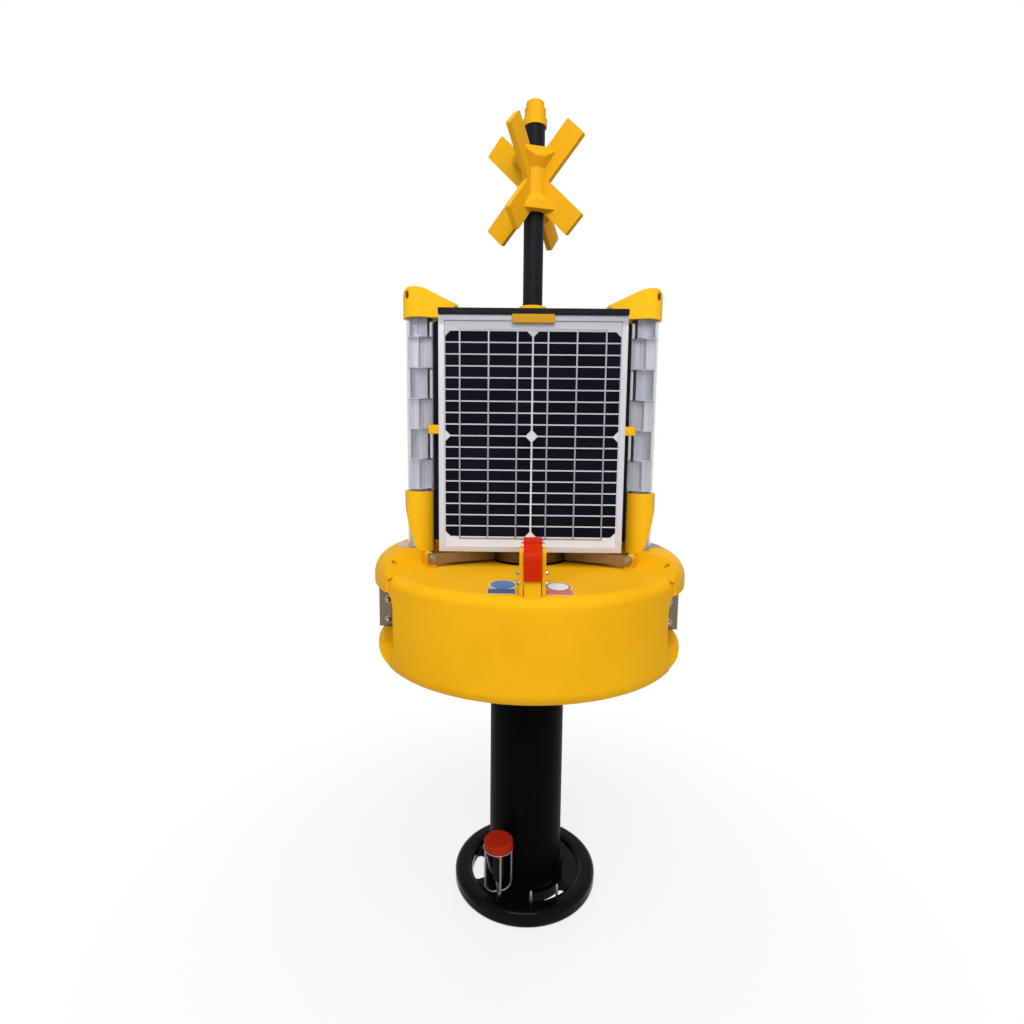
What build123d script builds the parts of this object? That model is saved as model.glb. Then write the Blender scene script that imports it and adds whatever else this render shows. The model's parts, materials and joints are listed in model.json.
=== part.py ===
from build123d import *
import math
import os

# Acoustic monitoring buoy. Millimetres, +Z up. The origin is on the floor below the middle of the
# base ring. One solar panel faces -Y and the other +Y, and the float's two ears point along +X and -X.

# Fits
fit = 0.3                       # gap between round faces that seat in each other

# Base ring, which the buoy stands on ashore
ring_outer_r = 148.0
ring_rim_width = 36.0
ring_height = 36.0
ring_edge_round = 12.0
web_bottom = 6.0                # the web that joins the rim to the hub
web_thickness = 20.0
slot_count = 3
slot_first_angle = -60.0
slot_span = 52.0                # degrees
slot_hub_gap = 5.7              # from the hub to the slots
slot_end_round = 7.0
hub_wall = 6.0
hub_height = 34.0

# Central tube
tube_r = 75.0

# Float
float_r = 298.0
float_bottom = 514.0
float_height = 179.0            # to the rim of the deck
deck_crown = 3.0                # rise of the deck from its rim to the well
float_bottom_round = 24.0
float_top_round = 18.0

# Ears on the float's deck: wedges that widen outwards, trimmed by a dome with a round shoulder
ear_height = 26.0               # above the deck's rim
ear_sink = 2.0                  # depth of the ear's foot below the deck's rim
ear_bulge = 5.0                 # how far the dome stands out from the float's wall
ear_shoulder_round = 40.0
ear_ridge_round = 11.0
ear_overrun = 7.0               # length of the wedge past the dome that trims it
ear_foot_reach = 120.0          # from the float's wall in to the foot's inner end
ear_foot_inner_half = 10.0      # half its width there
ear_foot_half_angle = 36.0
ear_top_reach = 88.0
ear_top_inner_half = 16.0
ear_top_half_angle = 25.0
ear_lobe_half_angle = 33.0      # the dome's part below the deck, over the pocket
ear_hole_r = 5.5
ear_hole_depth = 26.0
ear_hole_along = 0.72           # place of the hole along the sloping face, from its inner end
ear_hole_up = 0.6

# Pocket under each ear, with its rounded lip, scoops, web and steel plates
pocket_half_angle = 36.5
pocket_drop = 27.5              # from the deck's rim to the pocket's roof
pocket_height = 110.0
pocket_depth = 52.0
pocket_round = 12.0             # along the pocket's back wall
pocket_corner_round = 28.0      # where the roof runs into the pocket's front and back edges
lip_round = 12.0
lip_half_angle = 20.0
scoop_r = 54.0
scoop_angle = 27.5
scoop_out = 36.0                # from the float's wall out to the scoop's middle
scoop_drop = 5.0                # from the pocket's floor down to it
side_web_thickness = 26.0
side_web_inset = 12.0           # from the float's wall in to the web's edge
side_plate_thickness = 4.0
side_plate_depth = 46.0
side_plate_proud = 2.0          # past the float's wall
side_plate_gap = 1.0            # between the plate's ends and the pocket's roof and floor

# Clamp straps round the tube, above the deck
strap_thickness = 5.0
strap_height = 19.0
strap_lift = 9.0                # above the deck's rim
strap_arc_half_angle = 59.0
strap_tip_x = 181.0
strap_tip_y = 90.0
strap_end_round = 9.4
strap_boss_r = 8.5
strap_boss_depth = 34.0

# Latch on the deck's front rim
latch_rib_width = 26.0
latch_rib_inset = 8.0           # from the float's wall in to the rib
latch_rib_length = 40.0
latch_rib_rise = 30.0           # this and the other rises are above the deck's rim
latch_rib_round = 5.0
latch_width = 28.5
latch_thickness = 5.0
latch_bend_round = 20.0
latch_foot_rise = 26.0
latch_bend_rise = 67.0
latch_tip_inset = 26.0          # from the float's wall in to the pin
latch_tip_rise = 84.0
latch_pin_r = 3.0
latch_eye_r = 7.0
latch_pin_length = 36.0
cheek_thickness = 6.0
cheek_depth = 26.0
cheek_rise = 75.0
cheek_round = 8.0

# Equipment tower
panel_width = 340.0
panel_height = 430.0
panel_depth = 25.0
panel_front_y = 86.5
panel_lift = 31.5               # above the deck's rim
tube_seat = 1.0                 # from the tube's top up to the panels' lower edge
frame_lip = 11.0
frame_wall = 3.0
frame_lip_thickness = 2.0
laminate_thickness = 4.0
cell_columns = 2
cell_rows = 18
cell_side_margin = 1.4          # between the frame's lip and the cells
cell_end_margin = 18.1
cell_gap = 2.4
cell_column_gap = 3.2
cell_thickness = 0.4
cell_corner = 9.0               # cut corner of each block of nine rows
top_plate_thickness = 10.0
top_plate_overhang = 6.0        # past the face of each panel
bottom_plate_thickness = 10.0
core_depth = 60.0
core_chamfer = 20.0
core_gap = 1.0                  # between the core and the reflector tubes

# Reflector tubes and what holds them
reflector_gap = 20.5            # from the panel's side to the tube
reflector_r = 26.0
reflector_wall = 2.0
reflector_in_cap = 30.0         # length of the tube inside its cap
array_segments = 8
array_plate = 1.0
array_disc = 1.5
holder_wall = 5.0
socket_height = 112.0           # above the ear's top
socket_skirt = 6.0              # below the ear's top, over the ear's slopes
socket_cut_drop = 18.0          # from the socket's rim down to the slanting cut
socket_cut_inset = 26.0         # how far the cut comes in at the ear's top
socket_cut_bow = 9.5            # how far it comes in halfway up
cap_height = 51.0               # above the top plate
cap_skirt_rise = 6.0            # from the panels' top up to the cap's lower edge
cap_tail_reach = 77.0           # from the tube's middle in to the tail's tip
cap_tail_height = 24.0
cap_tail_round = 9.0
cap_slope_reach = 16.5          # from the tube's middle in to the start of the tail's slope
cap_slope_drop = 4.0            # fall from the crown to that place
cap_tail_half_width = 13.0
cap_crown_round = 18.0
cap_slot_out = 20.0             # from the tube's middle out to the lashing slot
cap_slot_drop = 14.0            # from the crown down to its middle
cap_slot_length = 15.0
cap_slot_width = 7.5

# Clips that hold the panels
top_clip_width = 76.0
top_clip_height = 15.0
side_clip_height = 16.0
side_clip_inset = 4.0           # from the panel's face in to the clip's
side_clip_rise = 11.0           # above the panel's middle

# Mast and what is on it
mast_r = 18.75
mast_height = 343.5             # above the top plate
mast_foot_r = 33.0
mast_foot_top_r = 26.0
mast_foot_height = 20.0
mast_foot_flange = 6.0
mast_cap_overlap = 2.0          # this and the next three are measured from the mast's top
mast_cap_skirt = 11.0
mast_cap_step = 28.5
mast_cap_rise = 42.5
mast_cap_skirt_r = 22.0
mast_cap_waist_r = 19.6
mast_cap_top_r = 16.5
mast_cap_round = 3.0

# Topmark: two crossed St Andrew's crosses with a hub on the mast
topmark_drop = 102.0            # from the mast's top to the topmark's middle
topmark_turn = 29.0             # degrees, from +X to the plane of the first cross
topmark_half = 100.0
topmark_arm_width = 45.0
topmark_plate = 10.0
topmark_corner_round = 4.0
topmark_hub_r = 24.5
topmark_hub_height = 106.0
topmark_cone_height = 30.0
topmark_cone_r = 50.0
topmark_collar_half = 36.0      # half the side of the square that trims the cones

# Hydrophone on the base ring
hydrophone_angle = 240.0
hydrophone_r = 108.0
hydrophone_cap_r = 28.5
hydrophone_cap_bottom = 133.0
hydrophone_cap_height = 18.0
hydrophone_cap_round = 3.0
hydrophone_neck_r = 13.0
hydrophone_neck_tip_r = 9.0
hydrophone_neck_height = 20.0
hydrophone_element_r = 11.0
hydrophone_element_bottom = 60.0
cage_wire_r = 2.0
cage_bottom = 38.0
cage_stem_r = 3.5
cage_stem_top = 56.0
cage_inset = 2.5                # from the cap's edge in to the wires
cage_bend = 19.0
cage_turn = 11.0                # degrees

# Places that follow from these
hub_top = web_bottom + web_thickness
well_r = tube_r + fit
hub_r = well_r + hub_wall
deck_rim_z = float_bottom + float_height
ear_r = float_r + ear_bulge
ear_top = deck_rim_z + ear_height
pocket_top = deck_rim_z - pocket_drop
pocket_bottom = pocket_top - pocket_height
pocket_floor_r = float_r - pocket_depth
strap_bottom = deck_rim_z + strap_lift
latch_rib_y = float_r - latch_rib_inset
latch_tip_y = float_r - latch_tip_inset
latch_tip_z = deck_rim_z + latch_tip_rise
panel_bottom = deck_rim_z + panel_lift
panel_top = panel_bottom + panel_height
panel_back_y = panel_front_y - panel_depth
panel_mid_z = panel_bottom + panel_height / 2
cells_width = panel_width - 2 * (frame_lip + cell_side_margin)
cells_height = panel_height - 2 * (frame_lip + cell_end_margin)
cell_width = (cells_width - (cell_columns - 1) * cell_column_gap) / cell_columns
cell_row_pitch = (cells_height + cell_gap) / cell_rows
tube_top = panel_bottom - tube_seat
top_plate_top = panel_top + top_plate_thickness
top_plate_half_y = panel_front_y + top_plate_overhang
bottom_plate_top = tube_top + bottom_plate_thickness
reflector_x = panel_width / 2 + reflector_gap + reflector_r
core_half_x = reflector_x - reflector_r - core_gap
holder_inner_r = reflector_r + fit
holder_r = holder_inner_r + holder_wall
reflector_top = panel_top + reflector_in_cap
mast_top = top_plate_top + mast_height
topmark_z = mast_top - topmark_drop
cage_r = hydrophone_cap_r - cage_inset


def at_angle(radius, degrees):
    """Point in plan at a radius and an angle from +X."""
    turn = math.radians(degrees)
    return (radius * math.cos(turn), radius * math.sin(turn))


def deck_z(radius):
    """Height of the crowned deck at a radius."""
    return deck_rim_z + deck_crown * (float_r - radius) / (float_r - well_r)


def band(outer_r, inner_r, bottom, top):
    """Upright ring."""
    ring = Circle(outer_r) - Circle(inner_r)
    return extrude(Pos(0, 0, bottom) * ring, top - bottom)


def block(x_range, y_range, z_range):
    """Box between two values on each axis."""
    sizes = [high - low for low, high in (x_range, y_range, z_range)]
    centre = [(low + high) / 2 for low, high in (x_range, y_range, z_range)]
    return Pos(*centre) * Box(*sizes)


def rod(start, end, radius):
    """Round bar between two points."""
    run = Vector(*end) - Vector(*start)
    return Plane(origin=start, z_dir=run) * Cylinder(
        radius, run.length, align=(Align.CENTER, Align.CENTER, Align.MIN))


def turned(points):
    """Solid of revolution about +Z from radius and height pairs."""
    return revolve(Plane.XZ * make_face(Polyline(points, close=True)), Axis.Z)


def mirror_pair(solid, plane):
    """A solid and its mirror image."""
    return (solid, mirror(solid, about=plane))


def make_base_ring():
    rim_middle = ring_outer_r - ring_rim_width / 2
    section = Pos(rim_middle, ring_height / 2) * RectangleRounded(
        ring_rim_width, ring_height, ring_edge_round)
    rim = revolve(Plane.XZ * section, Axis.Z)
    web = extrude(Pos(0, 0, web_bottom) * Circle(rim_middle), web_thickness)
    slot_inner_r = hub_r + slot_hub_gap
    slot_outer_r = ring_outer_r - ring_rim_width
    for step in range(slot_count):
        middle = slot_first_angle + step * 360.0 / slot_count
        inner = CenterArc((0, 0), slot_inner_r, middle - slot_span / 2, slot_span)
        outer = CenterArc((0, 0), slot_outer_r, middle - slot_span / 2, slot_span)
        sides = [Line(inner @ end, outer @ end) for end in (0, 1)]
        slot = make_face([inner, outer] + sides)
        slot = fillet(slot.vertices(), slot_end_round)
        web -= extrude(Pos(0, 0, web_bottom) * slot, web_thickness)
    hub = band(hub_r, well_r, hub_top, hub_top + hub_height)
    return rim + web + hub


def make_central_tube():
    return Pos(0, 0, hub_top) * Cylinder(
        tube_r, tube_top - hub_top, align=(Align.CENTER, Align.CENTER, Align.MIN))


def ear_corners(height):
    """Front corners of the ear's wedge in plan, at its foot or top, and the middle of its outer edge."""
    outer_r = ear_r + ear_overrun
    if height == ear_top:
        inner = (float_r - ear_top_reach, -ear_top_inner_half)
        outer = at_angle(outer_r, -ear_top_half_angle)
    else:
        inner = (float_r - ear_foot_reach, -ear_foot_inner_half)
        outer = at_angle(outer_r, -ear_foot_half_angle)
    return inner, outer, (outer_r, 0.0)


def ear_section(height):
    inner, outer, middle = ear_corners(height)
    back_inner = (inner[0], -inner[1])
    back_outer = (outer[0], -outer[1])
    outline = make_face([
        Line(inner, outer),
        ThreePointArc(outer, middle, back_outer),
        Line(back_outer, back_inner),
        Line(back_inner, inner),
    ])
    return Pos(0, 0, height) * outline


def ear_hole_plane():
    """Plane on the ear's sloping front face, at the hole."""
    foot_z = deck_rim_z - ear_sink
    foot_inner, foot_outer, _ = [Vector(x, y, foot_z) for x, y in ear_corners(foot_z)]
    top_inner, top_outer, _ = [Vector(x, y, ear_top) for x, y in ear_corners(ear_top)]
    foot = foot_inner + (foot_outer - foot_inner) * ear_hole_along
    crest = top_inner + (top_outer - top_inner) * ear_hole_along
    normal = (crest - foot).cross(foot_inner - foot_outer).normalized()
    return Plane(origin=foot + (crest - foot) * ear_hole_up, z_dir=normal)


def plan_sector(inner_r, outer_r, half_angle):
    """Ring sector about +X."""
    outer = CenterArc((0, 0), outer_r, -half_angle, 2 * half_angle)
    inner = CenterArc((0, 0), inner_r, -half_angle, 2 * half_angle)
    sides = [Line(inner @ end, outer @ end) for end in (0, 1)]
    return make_face([outer, inner] + sides)


def make_ear_dome():
    """Turned body that gives the ear its round outer end and the lobe over the pocket."""
    section = make_face(Polyline(
        [(0, pocket_top), (ear_r, pocket_top), (ear_r, ear_top), (0, ear_top)], close=True))
    shoulder = section.vertices().group_by(Axis.X)[-1].sort_by(Axis.Y)[-1]
    return revolve(Plane.XZ * fillet(shoulder, ear_shoulder_round), Axis.Z)


def make_ear():
    wedge = loft([ear_section(deck_rim_z - ear_sink), ear_section(ear_top)])
    ridges = wedge.faces().sort_by(Axis.Z)[-1].edges().filter_by(GeomType.LINE).sort_by(SortBy.LENGTH)[-2:]
    wedge = fillet(ridges, ear_ridge_round)
    lobe = extrude(
        Pos(0, 0, pocket_top) * plan_sector(pocket_floor_r, ear_r, ear_lobe_half_angle), pocket_drop)
    return (wedge + lobe) & make_ear_dome()


def make_pocket():
    pocket = extrude(
        Pos(0, 0, pocket_bottom) * plan_sector(pocket_floor_r, ear_r + pocket_round, pocket_half_angle),
        pocket_height)
    corners = pocket.faces().sort_by(Axis.Z)[-1].edges().filter_by(GeomType.LINE)
    pocket = fillet(corners, pocket_corner_round)
    back_edges = pocket.faces().filter_by(GeomType.CYLINDER).sort_by(SortBy.AREA)[-2].edges()
    return fillet(back_edges, pocket_round)


def make_lip_trim():
    """What rounds off the edge between the pocket's floor and the float's wall."""
    middle = (float_r - lip_round, pocket_bottom - lip_round)
    wall_end = (float_r, middle[1])
    floor_end = (middle[0], pocket_bottom)
    section = make_face([
        CenterArc(middle, lip_round, 0, 90),
        Line(wall_end, (ear_r, middle[1])),
        Line((ear_r, middle[1]), (ear_r, pocket_bottom)),
        Line((ear_r, pocket_bottom), floor_end),
    ])
    return Rot(0, 0, -lip_half_angle) * revolve(Plane.XZ * section, Axis.Z, 2 * lip_half_angle)


def make_scoop():
    """Hollow below the front end of the pocket."""
    x, y = at_angle(float_r + scoop_out, -scoop_angle)
    return Pos(x, y, pocket_bottom - scoop_drop) * Sphere(scoop_r)


def make_side_web():
    return block((pocket_floor_r - pocket_round, float_r - side_web_inset),
                 (-side_web_thickness / 2, side_web_thickness / 2), (pocket_bottom, pocket_top))


def strap_root():
    """Where the middle line of the front strap leaves the arc on the +X side."""
    return Vector(*at_angle(well_r + strap_thickness / 2, -90 + strap_arc_half_angle))


def strap_tip_plane():
    """Plane at the strap's bolt on the +X side: its normal points from the boss to the bolt's head."""
    run = Vector(strap_tip_x, -strap_tip_y) - strap_root()
    return Plane(origin=(strap_tip_x, -strap_tip_y, strap_bottom + strap_height / 2),
                 x_dir=run, z_dir=run.cross(Vector(0, 0, 1)))


def make_strap_boss():
    """Boss on the deck behind the strap's tip: round above and straight down to the deck."""
    seat = strap_thickness / 2 + fit
    drop = strap_lift + strap_height / 2 + ear_sink
    outline = Circle(strap_boss_r) + Pos(0, -drop / 2) * Rectangle(2 * strap_boss_r, drop)
    return extrude(strap_tip_plane() * Pos(0, 0, -seat) * outline, -strap_boss_depth)


def make_float():
    wall = Polyline(
        [(well_r, float_bottom), (float_r, float_bottom), (float_r, deck_rim_z),
         (well_r, deck_rim_z + deck_crown)], close=True)
    section = make_face(wall)
    outer = section.vertices().sort_by(Axis.X)[-2:].sort_by(Axis.Y)
    section = fillet(outer[0], float_bottom_round)
    rim_corner = section.vertices().group_by(Axis.X)[-1].sort_by(Axis.Y)[-1]
    section = fillet(rim_corner, float_top_round)
    body = revolve(Plane.XZ * section, Axis.Z)
    added = make_ear()
    for boss in mirror_pair(make_strap_boss(), Plane.XZ):
        added += boss
    for piece in mirror_pair(added, Plane.YZ):
        body += piece
    hole = ear_hole_plane() * Cylinder(ear_hole_r, 2 * ear_hole_depth)
    cuts = [make_pocket(), make_lip_trim()]
    cuts += mirror_pair(make_scoop(), Plane.XZ)
    cuts += mirror_pair(hole, Plane.XZ)
    for cut in cuts:
        for piece in mirror_pair(cut, Plane.YZ):
            body -= piece
    for piece in mirror_pair(make_side_web(), Plane.YZ):
        body += piece
    body += make_latch_rib()
    return body - Pos(0, 0, float_bottom) * Cylinder(
        well_r, ear_top - float_bottom, align=(Align.CENTER, Align.CENTER, Align.MIN))


def make_latch_rib():
    rib = block((-latch_rib_width / 2, latch_rib_width / 2), (-latch_rib_y, -latch_rib_y + latch_rib_length),
                (deck_rim_z - float_top_round, deck_rim_z + latch_rib_rise))
    crest = rib.faces().sort_by(Axis.Z)[-1].edges()
    return fillet(crest, latch_rib_round)


def make_side_plate():
    """Steel plate on the front of the web in the +X pocket."""
    front = -side_web_thickness / 2
    outer_x = float_r + side_plate_proud
    return block((outer_x - side_plate_depth, outer_x), (front - side_plate_thickness, front),
                 (pocket_bottom + side_plate_gap, pocket_top - side_plate_gap))


def make_strap():
    """Front clamp strap: an arc round the tube and two straight wings with round ends."""
    arc_band = Circle(well_r + strap_thickness) - Circle(well_r)
    wedge_r = 2 * (well_r + strap_thickness)
    wedge = make_face(Polyline(
        [(0, 0), at_angle(wedge_r, -90 - strap_arc_half_angle), (0, -wedge_r),
         at_angle(wedge_r, -90 + strap_arc_half_angle)], close=True))
    outline = arc_band & wedge
    root = strap_root()
    tip = Vector(strap_tip_x, -strap_tip_y)
    run = tip - root
    end = tip + run.normalized() * (strap_height / 2)
    middle = (root + end) * 0.5
    turn = math.degrees(math.atan2(run.Y, run.X))
    wing = Pos(middle.X, middle.Y) * Rot(0, 0, turn) * Rectangle((end - root).length, strap_thickness)
    outline += wing
    outline += mirror(wing, about=Plane.YZ)
    outline -= Circle(well_r)
    strap = extrude(Pos(0, 0, strap_bottom) * outline, strap_height)
    for far_end in (strap.faces().sort_by(Axis.X)[0], strap.faces().sort_by(Axis.X)[-1]):
        strap = fillet(far_end.edges().sort_by(Axis.Z)[::3], strap_end_round)
    return strap


def make_latch_strap():
    """Bent strap: upright at the rib, then leaning back to the panel's lower edge."""
    strap_y = latch_rib_y + latch_thickness / 2
    path = FilletPolyline(
        [(-strap_y, deck_rim_z + latch_foot_rise), (-strap_y, deck_rim_z + latch_bend_rise),
         (-latch_tip_y, latch_tip_z)], radius=latch_bend_round)
    outline = trace(path, latch_thickness) + Pos(-latch_tip_y, latch_tip_z) * Circle(latch_eye_r)
    outline -= Pos(-latch_tip_y, latch_tip_z) * Circle(latch_pin_r + fit)
    return extrude(Plane.YZ * outline, latch_width / 2, both=True)


def make_cheek():
    """Plate on the +X side of the latch, standing on the deck."""
    low = latch_width / 2 + fit
    outer_y = latch_rib_y - cheek_round
    inner_y = outer_y - cheek_depth
    cheek = block((low, low + cheek_thickness), (-outer_y, -inner_y),
                  (deck_z(inner_y) + fit, deck_rim_z + cheek_rise))
    corners = cheek.faces().sort_by(Axis.Z)[-1].edges().filter_by(Axis.X)
    return fillet(corners, cheek_round)


def make_latch_pin():
    return rod((-latch_pin_length / 2, -latch_tip_y, latch_tip_z),
               (latch_pin_length / 2, -latch_tip_y, latch_tip_z), latch_pin_r)


def make_panel_frame():
    """Frame of the front panel: four walls with a lip over the glass."""
    front, back = -panel_front_y, -panel_back_y
    half = panel_width / 2
    frame = block((-half, half), (front, back), (panel_bottom, panel_top))
    frame -= block((-half + frame_lip, half - frame_lip), (front, back),
                   (panel_bottom + frame_lip, panel_top - frame_lip))
    return frame - block((-half + frame_wall, half - frame_wall), (front + frame_lip_thickness, back),
                         (panel_bottom + frame_wall, panel_top - frame_wall))


def make_laminate():
    front = -panel_front_y + frame_lip_thickness
    half = panel_width / 2 - frame_wall
    return block((-half, half), (front, front + laminate_thickness),
                 (panel_bottom + frame_wall, panel_top - frame_wall))


def make_cells():
    """Cells on the laminate: two columns of strips in blocks whose outer corners are cut."""
    front = -panel_front_y + frame_lip_thickness
    block_rows = cell_rows // 2
    strip = cell_row_pitch - cell_gap
    first_z = panel_mid_z - (cell_rows - 1) / 2 * cell_row_pitch
    first_x = -(cell_columns - 1) / 2 * (cell_width + cell_column_gap)
    cells = []
    for column in range(cell_columns):
        for row in range(cell_rows):
            outline = Rectangle(cell_width, strip)
            at_foot = row % block_rows == 0
            at_head = row % block_rows == block_rows - 1
            if at_foot or at_head:
                corners = outline.vertices().group_by(Axis.Y)[0 if at_foot else -1]
                outline = chamfer(corners, cell_corner)
            place = Plane(origin=(first_x + column * (cell_width + cell_column_gap), front,
                                  first_z + row * cell_row_pitch), x_dir=(1, 0, 0), z_dir=(0, -1, 0))
            cells.append(extrude(place * outline, cell_thickness))
    return Compound(children=cells)


def make_top_plate():
    return block((-panel_width / 2, panel_width / 2), (-top_plate_half_y, top_plate_half_y),
                 (panel_top, top_plate_top))


def make_bottom_plate():
    return block((-panel_width / 2, panel_width / 2), (-panel_back_y, panel_back_y),
                 (tube_top, bottom_plate_top))


def make_core():
    """Block between the panels, its edges cut back beside the reflector tubes."""
    core = block((-core_half_x, core_half_x), (-core_depth / 2, core_depth / 2),
                 (bottom_plate_top, panel_top))
    return chamfer(core.edges().filter_by(Axis.Z), core_chamfer)


def make_reflector_tube():
    return Pos(reflector_x, 0) * band(reflector_r, reflector_r - reflector_wall, ear_top, reflector_top)


def make_reflector_array():
    """Stack of crossed plates between discs, each stage turned an eighth of a turn from the last."""
    length = reflector_top - ear_top
    pitch = (length - array_disc) / array_segments
    radius = reflector_r - reflector_wall - fit
    stack = Pos(0, 0, ear_top) * extrude(Circle(radius), array_disc)
    for stage in range(array_segments):
        floor = ear_top + stage * pitch
        stack += Pos(0, 0, floor + pitch) * extrude(Circle(radius), array_disc)
        for quarter in (0, 90):
            plate = Rot(0, 0, quarter + 45 * (stage % 2)) * Rectangle(2 * radius - array_plate, array_plate)
            stack += Pos(0, 0, floor) * extrude(plate, pitch)
    return Pos(reflector_x, 0) * stack


def make_socket():
    """Sleeve at the tube's foot, open on its outer side below a slanting cut, its skirt fitted to the ear."""
    rim = ear_top + socket_height
    cut_top = rim - socket_cut_drop
    sleeve = Pos(reflector_x, 0) * band(holder_r, holder_inner_r, ear_top - socket_skirt, rim)
    outer_x = reflector_x + holder_r
    past_x = outer_x + holder_wall
    cut = make_face([
        Line((outer_x, cut_top), (past_x, cut_top)),
        Line((past_x, cut_top), (past_x, ear_top - socket_skirt)),
        Line((past_x, ear_top - socket_skirt), (outer_x - socket_cut_inset, ear_top - socket_skirt)),
        Line((outer_x - socket_cut_inset, ear_top - socket_skirt), (outer_x - socket_cut_inset, ear_top)),
        ThreePointArc((outer_x - socket_cut_inset, ear_top),
                      (outer_x - socket_cut_bow, (ear_top + cut_top) / 2), (outer_x, cut_top)),
    ])
    sleeve -= extrude(Plane.XZ * cut, holder_r, both=True)
    sleeve -= Pos(0, 0, fit) * make_ear()
    return sleeve - make_core_room()


def make_core_room():
    """The space that the core takes up, with a fit round it."""
    room_x = core_half_x + fit
    room_y = core_depth / 2 + fit
    return block((-room_x, room_x), (-room_y, room_y), (ear_top - socket_skirt, top_plate_top))


def make_corner_cap():
    """Cap over the tube, with a tail that runs in along the top plate and a slot for a lashing."""
    outer_x = reflector_x + holder_r
    bottom = panel_top + cap_skirt_rise
    crown = top_plate_top + cap_height
    crown_start = (outer_x - cap_crown_round, crown)
    slope_start = (reflector_x - cap_slope_reach, crown - cap_slope_drop)
    tail_tip_x = reflector_x - cap_tail_reach
    tail_end = (tail_tip_x + cap_tail_round, top_plate_top + cap_tail_height)
    side = make_face([
        Line((outer_x, bottom), (outer_x, crown - cap_crown_round)),
        CenterArc((crown_start[0], crown - cap_crown_round), cap_crown_round, 0, 90),
        TangentArc(crown_start, slope_start, tangent=(-1, 0)),
        Line(slope_start, tail_end),
        CenterArc((tail_end[0], tail_end[1] - cap_tail_round), cap_tail_round, 90, 90),
        Line((tail_tip_x, tail_end[1] - cap_tail_round), (tail_tip_x, bottom)),
        Line((tail_tip_x, bottom), (outer_x, bottom)),
    ])
    side -= Pos(reflector_x + cap_slot_out, crown - cap_slot_drop) * Rot(0, 0, 90) * SlotOverall(
        cap_slot_length, cap_slot_width)
    body = extrude(Plane.XZ * side, holder_r, both=True)
    tail = make_face(Polyline(
        [(reflector_x, -holder_r), (tail_tip_x, -cap_tail_half_width),
         (tail_tip_x, cap_tail_half_width), (reflector_x, holder_r)], close=True))
    plan = Pos(reflector_x, 0) * Circle(holder_r) + tail
    body &= extrude(Pos(0, 0, bottom) * plan, crown - bottom)
    body -= block((-panel_width / 2 - fit, panel_width / 2 + fit), (-top_plate_half_y, top_plate_half_y),
                  (bottom, top_plate_top))
    return body - Pos(reflector_x, 0, bottom) * Cylinder(
        holder_inner_r, reflector_top + fit - bottom, align=(Align.CENTER, Align.CENTER, Align.MIN))


def make_top_clip():
    """Clip under the top plate's front edge, over the panel's frame."""
    return block((-top_clip_width / 2, top_clip_width / 2), (-top_plate_half_y, -panel_front_y),
                 (panel_top - top_clip_height, panel_top))


def make_side_clip():
    """Clip that stands on the core and holds the +X side of the front panel."""
    middle = panel_mid_z + side_clip_rise
    y_range = (-panel_front_y + side_clip_inset, -core_depth / 2 + core_chamfer)
    clip = block((panel_width / 2, core_half_x), y_range,
                 (middle - side_clip_height / 2, middle + side_clip_height / 2))
    return clip - make_core()


def make_mast():
    return Pos(0, 0, top_plate_top) * Cylinder(
        mast_r, mast_top - top_plate_top, align=(Align.CENTER, Align.CENTER, Align.MIN))


def make_mast_foot():
    bore = mast_r + fit
    return turned([
        (bore, top_plate_top), (mast_foot_r, top_plate_top),
        (mast_foot_r, top_plate_top + mast_foot_flange),
        (mast_foot_top_r, top_plate_top + mast_foot_height), (bore, top_plate_top + mast_foot_height)])


def make_mast_cap():
    bore = mast_r + fit
    bottom = mast_top - mast_cap_overlap
    skirt_top = mast_top + mast_cap_skirt
    step = mast_top + mast_cap_step
    top = mast_top + mast_cap_rise
    return turned([
        (bore, bottom), (mast_cap_skirt_r, bottom), (mast_cap_skirt_r, skirt_top),
        (mast_cap_waist_r, skirt_top), (mast_cap_waist_r, step), (mast_cap_top_r, step),
        (mast_cap_top_r, top - mast_cap_round), (mast_cap_top_r - mast_cap_round, top),
        (0, top), (0, mast_top), (bore, mast_top)])


def make_topmark():
    arm_length = 2 * (topmark_half * math.sqrt(2) - topmark_arm_width / 2)
    arm = RectangleRounded(arm_length, topmark_arm_width, topmark_corner_round)
    cross = Rot(0, 0, 45) * arm + Rot(0, 0, -45) * arm
    upright = extrude(Plane.XZ * cross, topmark_plate / 2, both=True)
    hub_half = topmark_hub_height / 2
    cone_foot = hub_half - topmark_cone_height
    hub = turned([
        (0, -hub_half), (topmark_cone_r, -hub_half), (topmark_hub_r, -cone_foot),
        (topmark_hub_r, cone_foot), (topmark_cone_r, hub_half), (0, hub_half)])
    hub &= Rot(0, 0, 45) * Box(2 * topmark_collar_half, 2 * topmark_collar_half, topmark_hub_height)
    mark = upright + Rot(0, 0, 90) * upright + hub
    mark -= Cylinder(mast_r + fit, 2 * topmark_half)
    return Pos(0, 0, topmark_z) * Rot(0, 0, -topmark_turn) * mark


def hydrophone_place():
    x, y = at_angle(hydrophone_r, hydrophone_angle)
    return Pos(x, y, 0)


def make_hydrophone_cap():
    """Round cap with a tapered neck below it."""
    top = hydrophone_cap_bottom + hydrophone_cap_height
    return hydrophone_place() * turned([
        (0, hydrophone_cap_bottom - hydrophone_neck_height),
        (hydrophone_neck_tip_r, hydrophone_cap_bottom - hydrophone_neck_height),
        (hydrophone_neck_r, hydrophone_cap_bottom), (hydrophone_cap_r, hydrophone_cap_bottom),
        (hydrophone_cap_r, top - hydrophone_cap_round), (hydrophone_cap_r - hydrophone_cap_round, top),
        (0, top)])


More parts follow.
